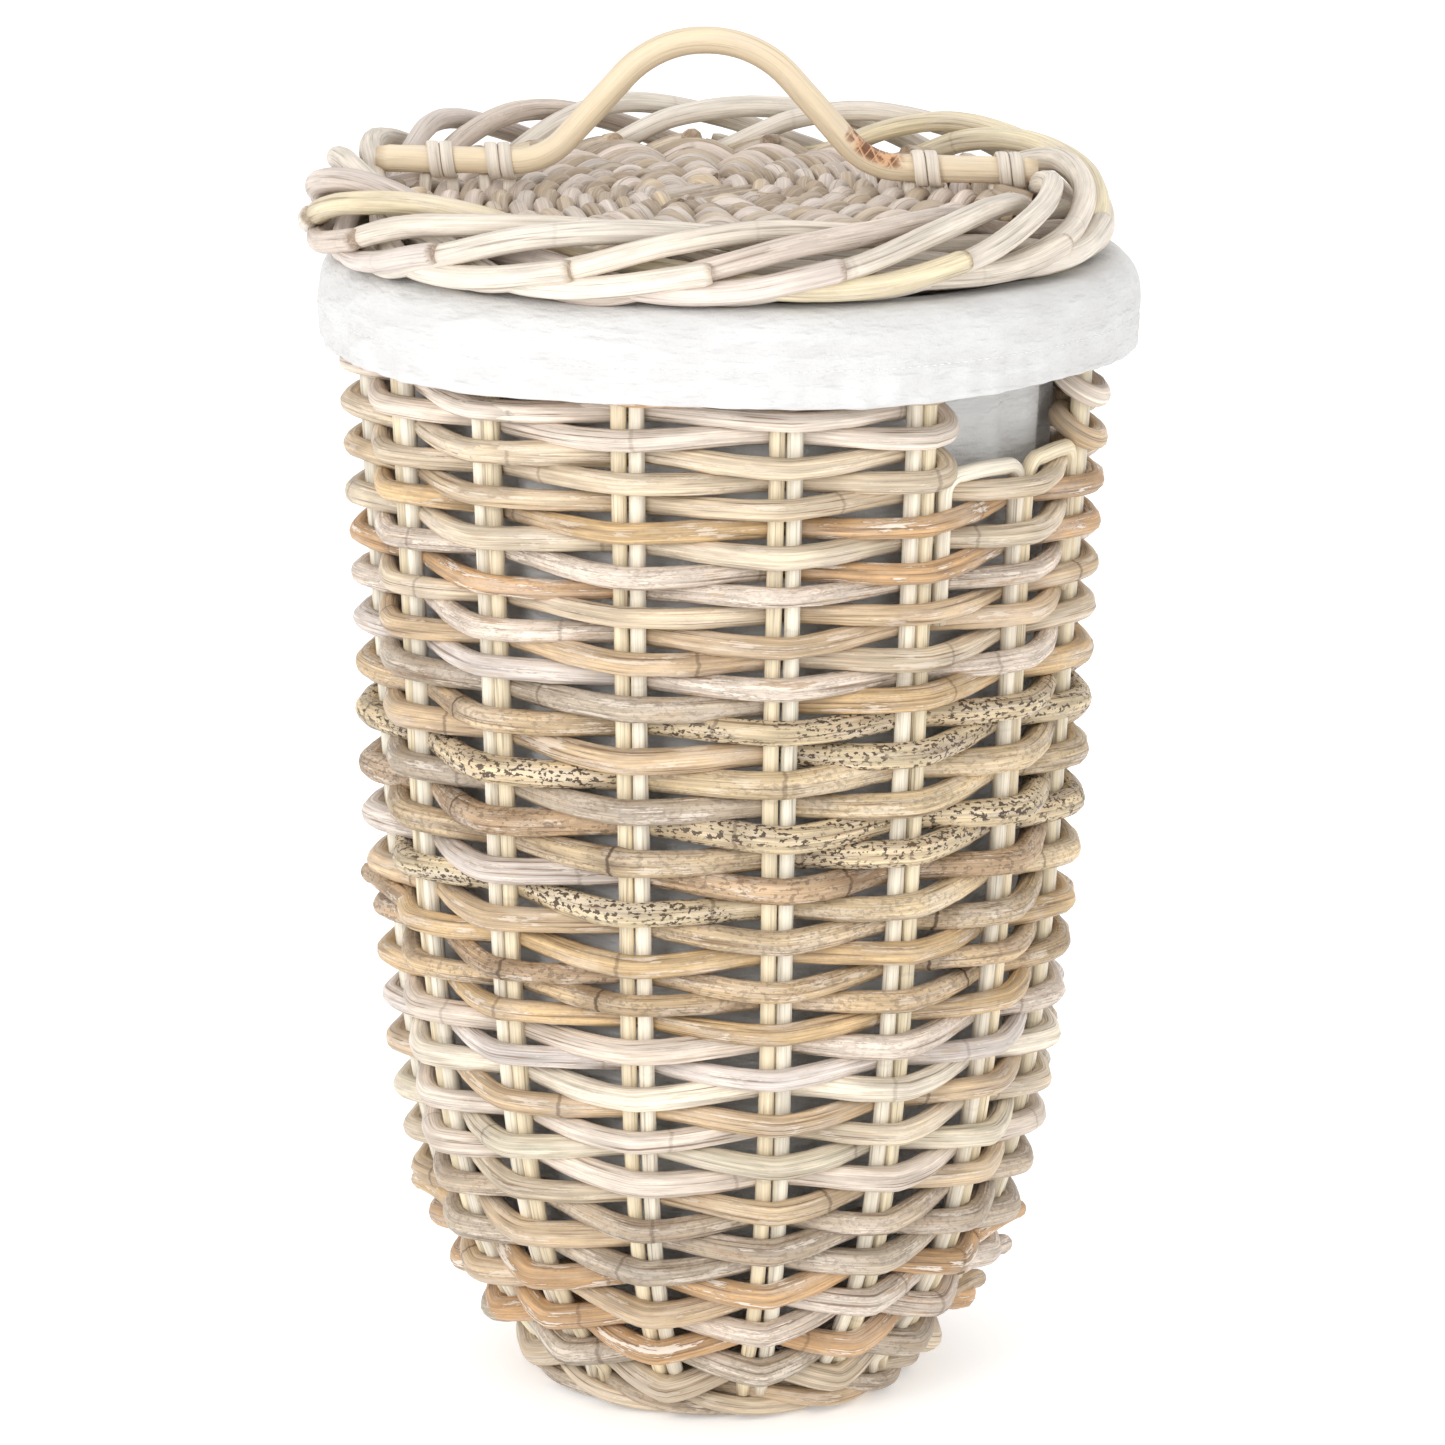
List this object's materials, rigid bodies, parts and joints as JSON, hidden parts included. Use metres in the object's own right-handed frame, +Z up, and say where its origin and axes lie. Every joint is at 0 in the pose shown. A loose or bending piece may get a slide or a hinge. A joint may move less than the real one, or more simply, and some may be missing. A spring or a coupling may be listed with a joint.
{
  "type": "woven laundry basket",
  "caption": "Tall round woven cane laundry basket with a cotton liner folded over its rim, hand holes, and a loose woven lid with a bent cane handle.",
  "frame": {"origin": "on the basket's axis, at the plane it stands on", "axes": "+Z up along the basket's axis; the hand holes face +X and -X"},
  "size_m": [0.4026, 0.4003, 0.67],
  "materials": {
    "stake_cane": "peeled, satin",
    "weave_cane": "weathered grey and tan, satin",
    "foot_cane": "weathered, satin",
    "floor_cane": "weathered, matte",
    "lid_cane": "weathered, satin",
    "handle_cane": "peeled and smooth, satin",
    "binding_cane": "split, satin",
    "cotton": "plain woven, matte",
    "elastic": "knitted over, matte"
  },
  "bodies": {
    "basket": {"foot_border": "foot_cane", "floor_cross_lower": "floor_cane", "floor_cross_upper": "floor_cane", "floor_weave": "floor_cane", "stake_pair_01": "stake_cane", "stake_pair_02": "stake_cane", "stake_pair_03": "stake_cane", "stake_pair_04": "stake_cane", "stake_pair_05": "stake_cane", "stake_pair_06": "stake_cane", "stake_pair_07": "stake_cane", "stake_pair_08": "stake_cane", "stake_pair_09": "stake_cane", "stake_pair_10": "stake_cane", "stake_pair_11": "stake_cane", "stake_pair_12": "stake_cane", "stake_pair_13": "stake_cane", "stake_pair_14": "stake_cane", "stake_pair_15": "stake_cane", "stake_pair_16": "stake_cane", "side_weave_band_1": "weave_cane", "side_weave_band_2": "weave_cane", "side_weave_band_3": "weave_cane", "side_weave_band_4": "weave_cane", "side_weave_band_5": "weave_cane", "side_weave_band_6": "weave_cane", "side_weave_band_7": "weave_cane", "side_weave_band_8": "weave_cane", "side_weave_band_9": "weave_cane", "rim_border": "weave_cane"},
    "liner": {"liner_bag": "cotton", "liner_floor": "cotton", "liner_cuff": "cotton", "liner_hem_casing": "cotton", "liner_elastic": "elastic"},
    "lid": {"lid_cross_lower": "lid_cane", "lid_cross_upper": "lid_cane", "lid_weave": "lid_cane", "lid_border": "lid_cane", "lid_handle": "handle_cane", "handle_binding_1": "binding_cane", "handle_binding_2": "binding_cane", "handle_binding_3": "binding_cane", "handle_binding_4": "binding_cane"}
  },
  "joints": [
    {"name": "liner_lift", "type": "slide", "parent": "basket", "child": "liner", "axis": [0, 0, 1], "range_m": [0, 0.6]},
    {"name": "lid_lift", "type": "slide", "parent": "liner", "child": "lid", "axis": [0, 0, 1], "range_m": [0, 0.25]}
  ]
}
